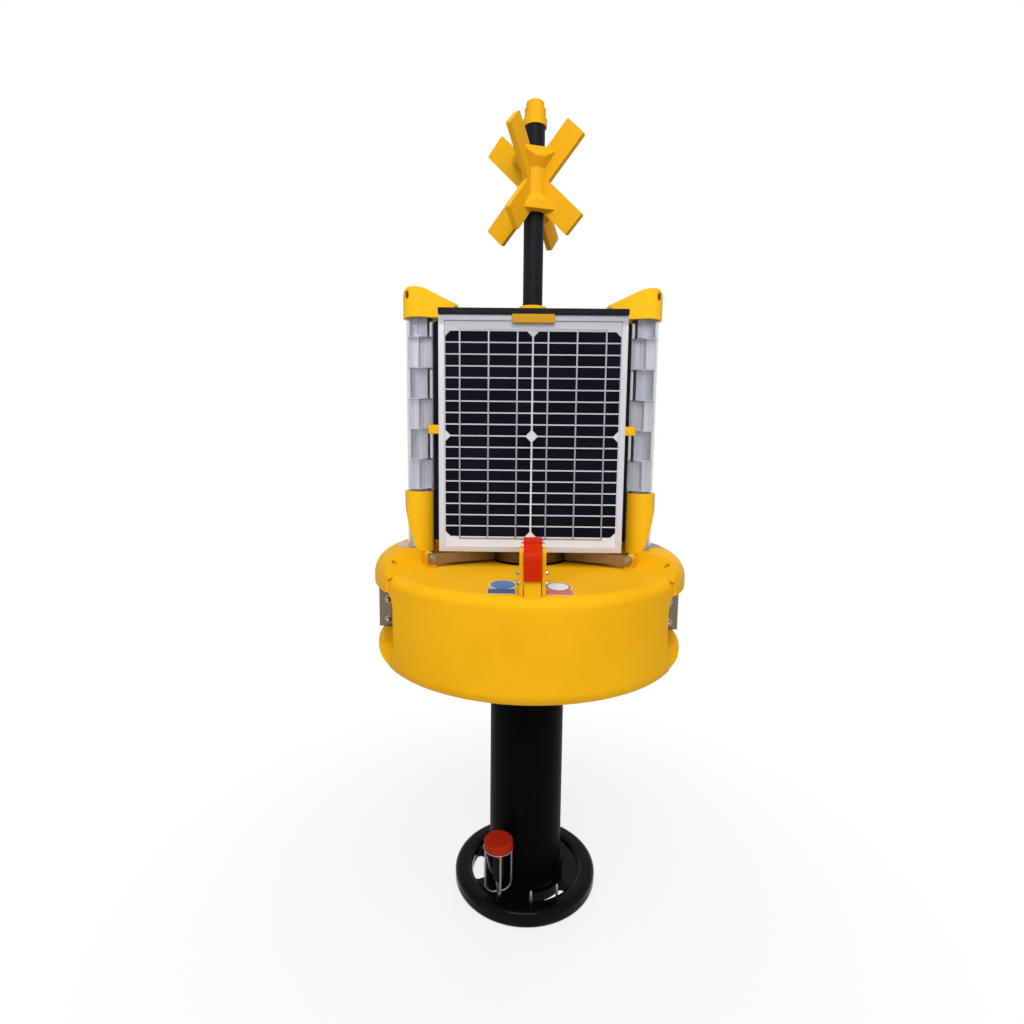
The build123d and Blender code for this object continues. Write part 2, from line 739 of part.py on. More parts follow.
def make_hydrophone_element():
    top = hydrophone_cap_bottom - hydrophone_neck_height
    tip = hydrophone_element_bottom + hydrophone_element_r
    outline = make_face([
        Line((0, top), (hydrophone_element_r, top)),
        Line((hydrophone_element_r, top), (hydrophone_element_r, tip)),
        CenterArc((0, tip), hydrophone_element_r, -90, 90),
        Line((0, hydrophone_element_bottom), (0, top)),
    ])
    return hydrophone_place() * revolve(Plane.XZ * outline, Axis.Z)


def make_hydrophone_cage():
    """Two wire hoops that cross under the element, on a stem that stands on the ring's web."""
    path = FilletPolyline(
        [(-cage_r, hydrophone_cap_bottom), (-cage_r, cage_bottom), (cage_r, cage_bottom),
         (cage_r, hydrophone_cap_bottom)], radius=cage_bend)
    hoop = sweep(Plane(origin=(-cage_r, 0, hydrophone_cap_bottom), z_dir=(0, 0, -1)) * Circle(cage_wire_r),
                 path=Plane.XZ * path)
    stem = rod((0, 0, hub_top), (0, 0, cage_stem_top), cage_stem_r)
    return hydrophone_place() * Rot(0, 0, cage_turn) * (hoop + Rot(0, 0, 90) * hoop + stem)


nodes = {
    "base_ring": make_base_ring(),
    "central_tube": make_central_tube(),
    "float_body": make_float(),
    "latch_strap": make_latch_strap(),
    "latch_pin": make_latch_pin(),
    "tower_top_plate": make_top_plate(),
    "tower_bottom_plate": make_bottom_plate(),
    "tower_core": make_core(),
    "mast": make_mast(),
    "mast_foot": make_mast_foot(),
    "mast_cap": make_mast_cap(),
    "topmark": make_topmark(),
    "hydrophone_cap": make_hydrophone_cap(),
    "hydrophone_element": make_hydrophone_element(),
    "hydrophone_cage": make_hydrophone_cage(),
}

# Pieces that come in pairs: node name, names of the two sides, solid, and the plane between them
left_right = ("right", "left")
front_back = ("front", "back")
pairs = (
    ("reflector_tube", left_right, make_reflector_tube(), Plane.YZ),
    ("reflector_array", left_right, make_reflector_array(), Plane.YZ),
    ("lower_socket", left_right, make_socket(), Plane.YZ),
    ("corner_cap", left_right, make_corner_cap(), Plane.YZ),
    ("latch_cheek", left_right, make_cheek(), Plane.YZ),
    ("clamp_strap", front_back, make_strap(), Plane.XZ),
    ("panel_frame", front_back, make_panel_frame(), Plane.XZ),
    ("panel_laminate", front_back, make_laminate(), Plane.XZ),
    ("panel_cells", front_back, make_cells(), Plane.XZ),
    ("panel_top_clip", front_back, make_top_clip(), Plane.XZ),
)
for name, sides, solid, plane in pairs:
    for side, piece in zip(sides, mirror_pair(solid, plane)):
        nodes[name + "_" + side] = piece

# Pieces on both sides of both ends
for name, solid in (("side_plate", make_side_plate()), ("panel_side_clip", make_side_clip())):
    for side, piece in zip(left_right, mirror_pair(solid, Plane.YZ)):
        for end, copy in zip(front_back, mirror_pair(piece, Plane.XZ)):
            nodes[name + "_" + side + "_" + end] = copy

os.makedirs("parts", exist_ok=True)
for name, solid in nodes.items():
    export_step(solid, "parts/" + name + ".step")
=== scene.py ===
import json
import math

import bmesh
import bpy
from mathutils import Matrix, Vector
from mathutils.bvhtree import BVHTree


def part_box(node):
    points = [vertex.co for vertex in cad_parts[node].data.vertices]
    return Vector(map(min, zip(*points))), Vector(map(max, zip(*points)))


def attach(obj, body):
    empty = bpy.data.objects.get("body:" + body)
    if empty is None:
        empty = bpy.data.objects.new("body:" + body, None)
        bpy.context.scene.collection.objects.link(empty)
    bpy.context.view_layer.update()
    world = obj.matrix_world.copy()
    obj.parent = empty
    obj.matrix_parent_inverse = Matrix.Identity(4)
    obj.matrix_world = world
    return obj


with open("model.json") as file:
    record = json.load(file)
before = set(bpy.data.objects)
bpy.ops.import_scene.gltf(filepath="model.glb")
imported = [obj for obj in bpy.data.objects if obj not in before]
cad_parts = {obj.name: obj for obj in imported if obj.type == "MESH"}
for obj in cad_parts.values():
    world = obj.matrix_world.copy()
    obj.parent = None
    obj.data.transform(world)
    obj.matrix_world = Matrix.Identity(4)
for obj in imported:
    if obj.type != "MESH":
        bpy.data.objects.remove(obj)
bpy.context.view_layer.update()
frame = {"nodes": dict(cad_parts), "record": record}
NODES = frame["nodes"]

# Camera that matches the photograph: focal length in pixels of its 1024 pixel frame, place in metres,
# and angles in degrees
IMAGE_SIZE = 1024
FOCAL_PIXELS = 594.1
SENSOR_WIDTH = 36.0
CAMERA_PLACE = Vector((-0.0253, -1.1788, 0.9349))
CAMERA_PITCH = 7.04
CAMERA_YAW = -0.48
CAMERA_ROLL = 0.607

# Stage
WHITE = (1.0, 1.0, 1.0, 1.0)
FLOOR_R = 14.0
FLOOR_SEGMENTS = 96
FLOOR_FADE = (0.25, 0.95)        # radii between which the floor runs into the white background
FLOOR_WHITE = 0.78               # share of white in the floor near the buoy
FLOOR_COLOUR = (0.74, 0.74, 0.74, 1.0)
FLOOR_ROUGHNESS = 0.9
SKY_COLOUR = (1.0, 0.99, 0.97, 1.0)
SKY_STRENGTH = 0.44
# Lamps: name, place, what it points at, width, height, power in watts
LAMPS = (
    ("key_lamp", (-0.2, -2.3, 2.4), (0.0, 0.0, 0.9), 2.0, 1.2, 43.0),
    ("top_lamp", (0.2, -1.3, 3.4), (0.0, 0.0, 0.9), 2.4, 2.0, 36.0),
    ("back_lamp", (0.6, 2.8, 1.9), (0.0, 0.0, 0.9), 2.2, 1.6, 30.0),
)


def make_camera():
    pitch, yaw, roll = (math.radians(angle) for angle in (CAMERA_PITCH, CAMERA_YAW, CAMERA_ROLL))
    ahead = Vector((math.sin(yaw) * math.cos(pitch), math.cos(yaw) * math.cos(pitch), -math.sin(pitch)))
    level = ahead.cross(Vector((0, 0, 1))).normalized()
    upright = level.cross(ahead)
    right = math.cos(roll) * level + math.sin(roll) * upright
    up = math.cos(roll) * upright - math.sin(roll) * level
    data = bpy.data.cameras.new("camera")
    data.sensor_width = SENSOR_WIDTH
    data.lens = FOCAL_PIXELS / IMAGE_SIZE * SENSOR_WIDTH
    camera = bpy.data.objects.new("camera", data)
    turn = Matrix((right, up, -ahead)).transposed().to_4x4()
    camera.matrix_world = Matrix.Translation(CAMERA_PLACE) @ turn
    bpy.context.scene.collection.objects.link(camera)
    bpy.context.scene.camera = camera


# Shader helpers

# Sockets of a colour mix node, which share their names with those for other kinds of value
MIX_FACTOR = 0
MIX_FIRST = 6
MIX_SECOND = 7
MIX_RESULT = 2


def add_node(tree, kind, inputs=None, **settings):
    """Node of a kind, with its settings and input values or links."""
    node = tree.nodes.new(kind)
    for name, value in settings.items():
        setattr(node, name, value)
    for name, value in (inputs or {}).items():
        if isinstance(value, bpy.types.NodeSocket):
            tree.links.new(value, node.inputs[name])
        else:
            node.inputs[name].default_value = value
    return node


def new_material(name):
    material = bpy.data.materials.new(name)
    material.use_nodes = True
    tree = material.node_tree
    return material, tree, tree.nodes["Principled BSDF"]


def place_nodes(tree, stretch=(1, 1, 1)):
    """The object's own coordinates in metres, stretched where a grain runs one way."""
    coords = add_node(tree, "ShaderNodeTexCoord")
    mapping = add_node(tree, "ShaderNodeMapping", {"Vector": coords.outputs["Object"], "Scale": stretch})
    return mapping.outputs["Vector"]


def noise(tree, place, scale, detail, roughness=0.55):
    node = add_node(tree, "ShaderNodeTexNoise",
                    {"Vector": place, "Scale": scale, "Detail": detail, "Roughness": roughness})
    return node.outputs["Fac"]


def bands(tree, place, axis, scale, distortion, detail):
    """Wave bands across one axis."""
    node = add_node(tree, "ShaderNodeTexWave",
                    {"Vector": place, "Scale": scale, "Distortion": distortion, "Detail": detail},
                    wave_type="BANDS", bands_direction=axis)
    return node.outputs["Fac"]


def remap(tree, value, low, high, out_low, out_high):
    """Moves a value from one range to another and holds it inside that."""
    limits = {"From Min": low, "From Max": high, "To Min": out_low, "To Max": out_high}
    node = add_node(tree, "ShaderNodeMapRange", {"Value": value, **limits})
    return node.outputs["Result"]


def blend_colours(tree, factor, first, second):
    node = add_node(tree, "ShaderNodeMix", data_type="RGBA")
    tree.links.new(factor, node.inputs[MIX_FACTOR])
    for socket, value in ((node.inputs[MIX_FIRST], first), (node.inputs[MIX_SECOND], second)):
        if isinstance(value, bpy.types.NodeSocket):
            tree.links.new(value, socket)
        else:
            socket.default_value = (*value, 1.0)
    return node.outputs[MIX_RESULT]


def set_bump(tree, shader, height, strength, distance):
    bump = add_node(tree, "ShaderNodeBump", {"Height": height, "Strength": strength, "Distance": distance})
    tree.links.new(bump.outputs["Normal"], shader.inputs["Normal"])


# Materials

ALONG_X = (0.04, 1, 1)                  # stretch of a grain that runs along x
ALONG_Z = (1, 1, 0.04)
ALONG_FRAME = (1, 1, 0.05)
ALONG_TUBE = (1, 1, 0.02)
SCUFF_STRETCH = (1.0, 1.0, 0.35)
PLASTIC_GRAIN = 420.0
METAL_GRAIN_DEPTH = 0.00012
PANEL_Z = (0.75, 1.14)                  # heights between which painted shade darkens the panel towards its top
TOP_BAR = (0.985, 1.0)                  # the same as shares, for the painted shade on the bar at the top of its frame
TOP_BAR_SHADE = (0.22, 0.22, 0.24)
UNDER_PANEL_SHADE_X = (0.075, 0.155)                # painted shade: darker towards the buoy's middle, fading out between these distances from it
PRINT_ROUGHNESS = 0.3


def moulded_plastic(name, colour, shade, rough, scuff, gloss, grain_depth):
    """Moulded plastic: slow drift of colour, a fine orange-peel grain, and dull scuffs."""
    material, tree, shader = new_material(name)
    place = place_nodes(tree)
    drift = noise(tree, place, 7.0, 3.0)
    base = blend_colours(tree, remap(tree, drift, 0.35, 0.65, 0, 1), colour, shade)
    marks = noise(tree, place_nodes(tree, SCUFF_STRETCH), 55.0, 8.0, 0.7)
    base = blend_colours(tree, remap(tree, marks, 0.60, 0.76, 0, 1), base, scuff)
    tree.links.new(base, shader.inputs["Base Color"])
    tree.links.new(remap(tree, marks, 0.3, 0.75, rough, rough + 0.16), shader.inputs["Roughness"])
    shader.inputs["Specular IOR Level"].default_value = gloss
    set_bump(tree, shader, noise(tree, place, PLASTIC_GRAIN, 2.0), 0.35, grain_depth)
    return material


def height_along_panel(tree):
    """Zero at the panel's foot and one at its top."""
    axes = add_node(tree, "ShaderNodeSeparateXYZ", {"Vector": place_nodes(tree)})
    return remap(tree, axes.outputs["Z"], *PANEL_Z, 0, 1)


def distance_from_middle(tree):
    axes = add_node(tree, "ShaderNodeSeparateXYZ", {"Vector": place_nodes(tree)})
    reach = add_node(tree, "ShaderNodeMath", operation="ABSOLUTE")
    tree.links.new(axes.outputs["X"], reach.inputs[0])
    return reach.outputs[0]


def metal(name, colour, shade, rough, stretch, grain, spots=None, under_panel_shade=None, top_shade=None):
    """Metal whose grain runs along one axis: with stains, painted shade towards the middle, or painted shade
    towards the top.
    """
    material, tree, shader = new_material(name)
    lines = noise(tree, place_nodes(tree, stretch), grain, 5.0, 0.6)
    base = blend_colours(tree, remap(tree, lines, 0.3, 0.7, 0, 1), colour, shade)
    if spots:
        cloud = noise(tree, place_nodes(tree), 16.0, 4.0)
        base = blend_colours(tree, remap(tree, cloud, 0.55, 0.78, 0, 0.8), base, spots)
    # painted shade: darker towards the middle, where the strap lies under the panel
    if under_panel_shade:
        share = remap(tree, distance_from_middle(tree), *UNDER_PANEL_SHADE_X, 0.9, 0)
        base = blend_colours(tree, share, base, under_panel_shade)
    # painted shade: darker towards the panel's top, and darker still on the bar at the top of its frame
    if top_shade:
        height = height_along_panel(tree)
        base = blend_colours(tree, height, base, top_shade)
        base = blend_colours(tree, remap(tree, height, *TOP_BAR, 0, 0.8), base, TOP_BAR_SHADE)
    tree.links.new(base, shader.inputs["Base Color"])
    shader.inputs["Metallic"].default_value = 1.0
    tree.links.new(remap(tree, lines, 0.3, 0.7, rough, rough + 0.14), shader.inputs["Roughness"])
    set_bump(tree, shader, lines, 0.25, METAL_GRAIN_DEPTH)
    return material


def cell_material():
    """Dark silicon under glass: fine contact fingers and a slight blue drift from cell to cell."""
    material, tree, shader = new_material("solar_cell")
    place = place_nodes(tree)
    drift = noise(tree, place, 9.0, 2.0)
    base = blend_colours(tree, remap(tree, drift, 0.35, 0.65, 0, 1),
                         (0.0022, 0.0026, 0.0066), (0.0042, 0.0050, 0.0115))
    fingers = bands(tree, place, "Z", 143.0, 0.0, 2.0)
    base = blend_colours(tree, remap(tree, fingers, 0.86, 1.0, 0, 0.12), base, (0.05, 0.052, 0.06))
    tree.links.new(base, shader.inputs["Base Color"])
    tree.links.new(remap(tree, drift, 0.3, 0.7, 0.10, 0.16), shader.inputs["Roughness"])
    shader.inputs["Specular IOR Level"].default_value = 0.03
    set_bump(tree, shader, noise(tree, place, 60.0, 2.0), 0.04, 0.0004)
    return material


def sheet_material():
    """White backing sheet under glass, with painted shade that darkens it towards the top."""
    material, tree, shader = new_material("panel_backsheet")
    place = place_nodes(tree)
    cloud = noise(tree, place, 40.0, 5.0)
    base = blend_colours(tree, remap(tree, cloud, 0.3, 0.7, 0, 1), (0.69, 0.70, 0.74), (0.74, 0.75, 0.79))
    # painted shade: the sheet darker towards the panel's top
    base = blend_colours(tree, height_along_panel(tree), base, (0.45, 0.455, 0.49))
    tree.links.new(base, shader.inputs["Base Color"])
    tree.links.new(remap(tree, cloud, 0.3, 0.7, 0.14, 0.22), shader.inputs["Roughness"])
    shader.inputs["Specular IOR Level"].default_value = 0.25
    set_bump(tree, shader, noise(tree, place, 500.0, 2.0), 0.05, 0.0001)
    return material


def clear_material():
    """Clear polycarbonate tube, greyer where more of its wall is seen, with faint draw lines along it."""
    material, tree, shader = new_material("clear_tube")
    lines = noise(tree, place_nodes(tree, ALONG_TUBE), 260.0, 3.0)
    shader.inputs["Base Color"].default_value = (0.90, 0.89, 0.89, 1.0)
    shader.inputs["Transmission Weight"].default_value = 1.0
    shader.inputs["IOR"].default_value = 1.40
    tree.links.new(remap(tree, lines, 0.3, 0.7, 0.015, 0.06), shader.inputs["Roughness"])
    set_bump(tree, shader, lines, 0.06, 0.0002)
    absorb = add_node(tree, "ShaderNodeVolumeAbsorption", {"Color": (0.46, 0.45, 0.48, 1.0), "Density": 85.0})
    tree.links.new(absorb.outputs[0], tree.nodes["Material Output"].inputs["Volume"])
    return material


def foil_material():
    """Bright reflector foil with fine ribs along the tube."""
    material, tree, shader = new_material("reflector_foil")
    ribs = bands(tree, place_nodes(tree), "X", 62.0, 0.6, 2.0)
    streaks = noise(tree, place_nodes(tree, ALONG_TUBE), 210.0, 3.0)
    base = blend_colours(tree, remap(tree, streaks, 0.35, 0.65, 0, 1), (0.92, 0.95, 1.0), (0.74, 0.77, 0.88))
    base = blend_colours(tree, remap(tree, ribs, 0.75, 1.0, 0, 0.35), base, (0.56, 0.58, 0.68))
    tree.links.new(base, shader.inputs["Base Color"])
    shader.inputs["Metallic"].default_value = 0.55
    tree.links.new(remap(tree, streaks, 0.3, 0.7, 0.28, 0.42), shader.inputs["Roughness"])
    set_bump(tree, shader, ribs, 0.25, 0.0003)
    return material


def rubber_material():
    """Black rubber with a little dust."""
    material, tree, shader = new_material("black_rubber")
    place = place_nodes(tree)
    dust = noise(tree, place, 70.0, 6.0)
    base = blend_colours(tree, remap(tree, dust, 0.45, 0.75, 0, 1),
                         (0.0045, 0.0045, 0.0050), (0.0095, 0.0092, 0.0092))
    tree.links.new(base, shader.inputs["Base Color"])
    tree.links.new(remap(tree, dust, 0.3, 0.7, 0.55, 0.75), shader.inputs["Roughness"])
    shader.inputs["Specular IOR Level"].default_value = 0.08
    set_bump(tree, shader, noise(tree, place, 700.0, 3.0), 0.3, 0.0002)
    return material


def print_material(name, colour, shade):
    """Printed vinyl with a slight mottle."""
    material, tree, shader = new_material(name)
    place = place_nodes(tree)
    mottle = noise(tree, place, 160.0, 5.0)
    base = blend_colours(tree, remap(tree, mottle, 0.35, 0.7, 0, 1), colour, shade)
    tree.links.new(base, shader.inputs["Base Color"])
    rough = remap(tree, mottle, 0.3, 0.7, PRINT_ROUGHNESS, PRINT_ROUGHNESS + 0.12)
    tree.links.new(rough, shader.inputs["Roughness"])
    set_bump(tree, shader, noise(tree, place, 900.0, 2.0), 0.06, 0.0001)
    return material


# Moulded plastics: name, colour and its shade, roughness, colour of the scuffs, gloss, depth of the grain
PLASTICS = (
    ("yellow_polyethylene", (0.84, 0.435, 0.008), (0.79, 0.395, 0.006), 0.42,
     (0.85, 0.455, 0.016), 0.025, 0.00025),
    # brighter copy of the yellow: painted light on the corner caps and lower sockets
    ("lit_socket_yellow", (0.92, 0.510, 0.012), (0.87, 0.465, 0.009), 0.40,
     (0.92, 0.520, 0.020), 0.05, 0.00025),
    ("aged_yellow", (0.76, 0.390, 0.010), (0.71, 0.355, 0.008), 0.42,
     (0.77, 0.410, 0.018), 0.05, 0.00025),
    # darker copy of the yellow: painted shade on the panel's top clip
    ("shaded_clip_yellow", (0.52, 0.270, 0.016), (0.48, 0.245, 0.013), 0.44,
     (0.53, 0.285, 0.024), 0.05, 0.00025),
    ("black_plastic", (0.0092, 0.0095, 0.0128), (0.0122, 0.0124, 0.0165), 0.36,
     (0.0165, 0.0165, 0.0185), 0.05, 0.00025),
    ("tube_black", (0.0022, 0.0018, 0.0017), (0.0032, 0.0027, 0.0026), 0.34,
     (0.0060, 0.0056, 0.0056), 0.018, 0.00025),
    ("ring_black", (0.0020, 0.0017, 0.0018), (0.0028, 0.0024, 0.0025), 0.09,
     (0.0055, 0.0051, 0.0053), 0.06, 0.00006),
    ("red_plastic", (0.55, 0.020, 0.001), (0.48, 0.016, 0.001), 0.40,
     (0.56, 0.030, 0.004), 0.05, 0.00025),
    # darker copy of the red for the hydrophone's cap: dust, and painted shade
    ("dusty_shaded_red", (0.37, 0.019, 0.005), (0.31, 0.016, 0.004), 0.50,
     (0.40, 0.045, 0.018), 0.04, 0.00025),
)
# Metals: name, colour and its shade, roughness, stretch and scale of the grain, and colours of the stains on
# it and of painted shade
METALS = (
    ("stainless_steel", (0.42, 0.385, 0.335), (0.31, 0.28, 0.24), 0.30, ALONG_X, 320.0,
     {"spots": (0.26, 0.21, 0.155)}),
    # darker copy of the steel for the clamp straps: painted shade under the panel, with real stains in its
    # spots
    ("shaded_strap_steel", (0.37, 0.280, 0.150), (0.28, 0.200, 0.098), 0.34, ALONG_X, 320.0,
     {"spots": (0.20, 0.130, 0.050), "under_panel_shade": (0.085, 0.050, 0.018)}),
    ("cage_steel", (0.30, 0.285, 0.280), (0.22, 0.205, 0.200), 0.34, ALONG_Z, 320.0,
     {"spots": (0.16, 0.140, 0.125)}),
    ("plate_steel", (0.235, 0.185, 0.140), (0.165, 0.125, 0.090), 0.36, ALONG_Z, 320.0,
     {"spots": (0.120, 0.085, 0.055)}),
    # the frame's aluminium with painted shade towards its top
    ("panel_aluminium", (0.68, 0.68, 0.71), (0.60, 0.60, 0.63), 0.36, ALONG_FRAME, 500.0,
     {"top_shade": (0.39, 0.39, 0.42)}),
    ("tinned_copper", (0.32, 0.325, 0.35), (0.25, 0.255, 0.28), 0.34, ALONG_FRAME, 500.0, {}),
)


def make_materials():
    """Materials by name: the record's slots, and other batches of them."""
    materials = {
        "panel_backsheet": sheet_material(),
        "solar_cell": cell_material(),
        "clear_tube": clear_material(),
        "reflector_foil": foil_material(),
        "black_rubber": rubber_material(),
    }
    for name, *look in PLASTICS:
        materials[name] = moulded_plastic(name, *look)
    for name, colour, shade, rough, stretch, grain, extras in METALS:
        materials[name] = metal(name, colour, shade, rough, stretch, grain, **extras)
    return materials


# Dress of the CAD nodes

# Nodes whose sharp edges get a small moulded or broken edge: start of the name, and its width
SOFT_EDGES = (
    ("topmark", 0.0016),
    ("corner_cap", 0.0016),
    ("lower_socket", 0.0012),
    ("panel_top_clip", 0.0012),
    ("panel_side_clip", 0.0010),
    ("panel_frame", 0.0005),
    ("latch_strap", 0.0010),
    ("latch_cheek", 0.0012),
    ("tower_top_plate", 0.0010),
    ("mast_foot", 0.0012),
    ("mast_cap", 0.0010),
    ("clamp_strap", 0.0006),
    ("side_plate", 0.0006),
)
SOFT_EDGE_ANGLE = 40.0                  # degrees from which an edge counts as sharp
JOIN_DISTANCE = 0.00001
# Nodes that wear another batch of their slot's material: start of the name, and the batch
BATCHES = (
    ("topmark", "aged_yellow"),
    ("mast_foot", "aged_yellow"),
    ("mast_cap", "aged_yellow"),
    # the top clip takes the yellow's copy with painted shade
    ("panel_top_clip", "shaded_clip_yellow"),
    # the caps and sockets take the yellow's copy with painted light
    ("corner_cap", "lit_socket_yellow"),
    ("lower_socket", "lit_socket_yellow"),
    # the hydrophone's cap takes the red's copy with dust and painted shade
    ("hydrophone_cap", "dusty_shaded_red"),
    ("central_tube", "tube_black"),
    ("base_ring", "ring_black"),
    # the clamp straps take the steel's copy with painted shade
    ("clamp_strap", "shaded_strap_steel"),
    ("side_plate", "plate_steel"),
    ("hydrophone_cage", "cage_steel"),
)


def soften_edges(node, width):
    """Joins the facets of a node and rounds its sharp edges by a width."""
    weld = node.modifiers.new("join", "WELD")
    weld.merge_threshold = JOIN_DISTANCE
    bevel = node.modifiers.new("edge", "BEVEL")
    bevel.width = width
    bevel.segments = 2
    bevel.limit_method = "ANGLE"
    bevel.angle_limit = math.radians(SOFT_EDGE_ANGLE)
    bevel.use_clamp_overlap = True
    node.modifiers.new("shade", "WEIGHTED_NORMAL")


def dress_nodes(materials):
    """Gives each CAD node its material, and soft edges where it is moulded or folded."""
    for subpart in frame["record"]["subparts"]:
        name = subpart["node"]
        node = NODES[name]
        batch = subpart["material_slot"]
        for start, other in BATCHES:
            if name.startswith(start):
                batch = other
        node.data.materials.clear()
        node.data.materials.append(materials[batch])
        for start, width in SOFT_EDGES:
            if name.startswith(start):
                soften_edges(node, width)


# Floor, background and lamps

def camera_glossy_transmission(tree):
    """1 where a ray from the camera, or one that it sees in metal or glass, meets the surface."""
    path = add_node(tree, "ShaderNodeLightPath")
    total = path.outputs["Is Camera Ray"]
    for name in ("Is Glossy Ray", "Is Transmission Ray"):
        larger = add_node(tree, "ShaderNodeMath", operation="MAXIMUM")
        tree.links.new(total, larger.inputs[0])
        tree.links.new(path.outputs[name], larger.inputs[1])
        total = larger.outputs[0]
    return total


def mix_surfaces(tree, share, first, second, output):
    """Puts a mix of two surfaces on an output node."""
    mixed = add_node(tree, "ShaderNodeMixShader")
    tree.links.new(share, mixed.inputs[0])
    tree.links.new(first.outputs[0], mixed.inputs[1])
    tree.links.new(second.outputs[0], mixed.inputs[2])
    tree.links.new(mixed.outputs[0], tree.nodes[output].inputs["Surface"])


def make_floor():
    """Floor that takes the shadow near the buoy and runs into the white background further out."""
    mesh = bpy.data.meshes.new("floor")
    shape = bmesh.new()
    bmesh.ops.create_circle(shape, cap_ends=True, radius=FLOOR_R, segments=FLOOR_SEGMENTS)
    shape.to_mesh(mesh)
    shape.free()
    floor = bpy.data.objects.new("floor", mesh)
    bpy.context.scene.collection.objects.link(floor)
    material, tree, shader = new_material("floor")
    shader.inputs["Base Color"].default_value = FLOOR_COLOUR
    shader.inputs["Roughness"].default_value = FLOOR_ROUGHNESS
    shader.inputs["Specular IOR Level"].default_value = 0.0
    coords = add_node(tree, "ShaderNodeTexCoord")
    reach = add_node(tree, "ShaderNodeVectorMath", operation="LENGTH")
    tree.links.new(coords.outputs["Object"], reach.inputs[0])
    fade = add_node(tree, "ShaderNodeMapRange", {
        "Value": reach.outputs["Value"],
        "From Min": FLOOR_FADE[0],
        "From Max": FLOOR_FADE[1],
        "To Min": FLOOR_WHITE,
    }, interpolation_type="SMOOTHSTEP")
    share = add_node(tree, "ShaderNodeMath", operation="MULTIPLY")
    tree.links.new(fade.outputs["Result"], share.inputs[0])
    tree.links.new(camera_glossy_transmission(tree), share.inputs[1])
    white = add_node(tree, "ShaderNodeEmission", {"Color": WHITE, "Strength": 1.0})
    mix_surfaces(tree, share.outputs[0], shader, white, "Material Output")
    mesh.materials.append(material)


def make_world():
    """White background with a softer light of its own."""
    world = bpy.data.worlds.new("studio")
    bpy.context.scene.world = world
    world.use_nodes = True
    tree = world.node_tree
    light = tree.nodes["Background"]
    light.inputs["Color"].default_value = SKY_COLOUR
    light.inputs["Strength"].default_value = SKY_STRENGTH
    white = add_node(tree, "ShaderNodeBackground", {"Color": WHITE, "Strength": 1.0})
    mix_surfaces(tree, camera_glossy_transmission(tree), light, white, "World Output")


def make_lamps():
    """Lamps that don't show: metal mirrors the key lamp alone, and the clear tubes hide the one behind."""
    for name, place, target, width, height, power in LAMPS:
        data = bpy.data.lights.new(name, "AREA")
        data.shape = "RECTANGLE"
        data.size = width
        data.size_y = height
        data.energy = power
        lamp = bpy.data.objects.new(name, data)
        lamp.location = place
        lamp.rotation_euler = (Vector(target) - Vector(place)).to_track_quat("-Z", "Y").to_euler()
        lamp.visible_camera = False
        lamp.visible_glossy = name == "key_lamp"
        lamp.visible_transmission = name != "back_lamp"
        bpy.context.scene.collection.objects.link(lamp)


# Mesh helpers

SHARP_ANGLE = 35.0                      # degrees from which the shading breaks at an edge


def finish_piece(name, shape, materials):
    """Turns a bmesh into a piece that rides on the buoy."""
    mesh = bpy.data.meshes.new(name)
    bmesh.ops.recalc_face_normals(shape, faces=shape.faces)
    shape.to_mesh(mesh)
    shape.free()
    for polygon in mesh.polygons:
        polygon.use_smooth = True
    mesh.set_sharp_from_angle(angle=math.radians(SHARP_ANGLE))
    for material in materials:
        mesh.materials.append(material)
    piece = bpy.data.objects.new(name, mesh)
    bpy.context.scene.collection.objects.link(piece)
    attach(piece, "root")


def circle(count):
    """Points round a circle of radius 1."""
    angles = [2 * math.pi * step / count for step in range(count)]
    return [(math.cos(angle), math.sin(angle)) for angle in angles]


def turn_about(shape, profile, sides, matrix):
    """Solid of revolution with a number of sides from radius and height pairs; radius 0 closes an end."""
    rings = []
    for radius, height in profile:
        points = circle(sides) if radius else [(0, 0)]
        rings.append([shape.verts.new(matrix @ Vector((radius * x, radius * y, height))) for x, y in points])
    for low, high in zip(rings, rings[1:]):
        for step in range(sides):
            after = (step + 1) % sides
            corners = []
            for vertex in (low[step % len(low)], low[after % len(low)],
                           high[after % len(high)], high[step % len(high)]):
                if vertex not in corners:
                    corners.append(vertex)
            shape.faces.new(corners)


def facing(place, axis, roll=0.0):
    """Matrix that puts +Z along an axis at a place."""
    turn = Vector(axis).to_track_quat("Z", "Y").to_matrix().to_4x4()
    return Matrix.Translation(Vector(place)) @ turn @ Matrix.Rotation(math.radians(roll), 4, "Z")


def add_strip(shape, low, high, edge):
    """Flat bar with bevelled edges between two corners."""
    matrix = Matrix.Translation((Vector(low) + Vector(high)) / 2)
    size = Vector(high) - Vector(low)
    made = bmesh.ops.create_cube(shape, size=1.0, matrix=matrix @ Matrix.Diagonal((*size, 1.0)))
    edges = {e for vertex in made["verts"] for e in vertex.link_edges}
    bmesh.ops.bevel(shape, geom=list(edges), offset=edge, segments=1, affect="EDGES")


# Fasteners

SIDES = (1, -1)
HEXAGON = 6
WASHER_SIDES = 28
ROUND_SIDES = 24
WASHER = 0.0016
# Strap bolts
STRAP_TIP = (0.181, 0.090, 0.7115)      # middle of the strap's bolt on its own middle line
STRAP_HALF = 0.0025
STRAP_NORMAL = (0.400, 0.9165)          # share of x, inwards, and of y, outwards
STRAP_BOLT = (0.0105, 0.0046, 0.0078)   # width across the flats, height of the head, radius of the washer
STRAP_BOLT_ROLL = 20.0
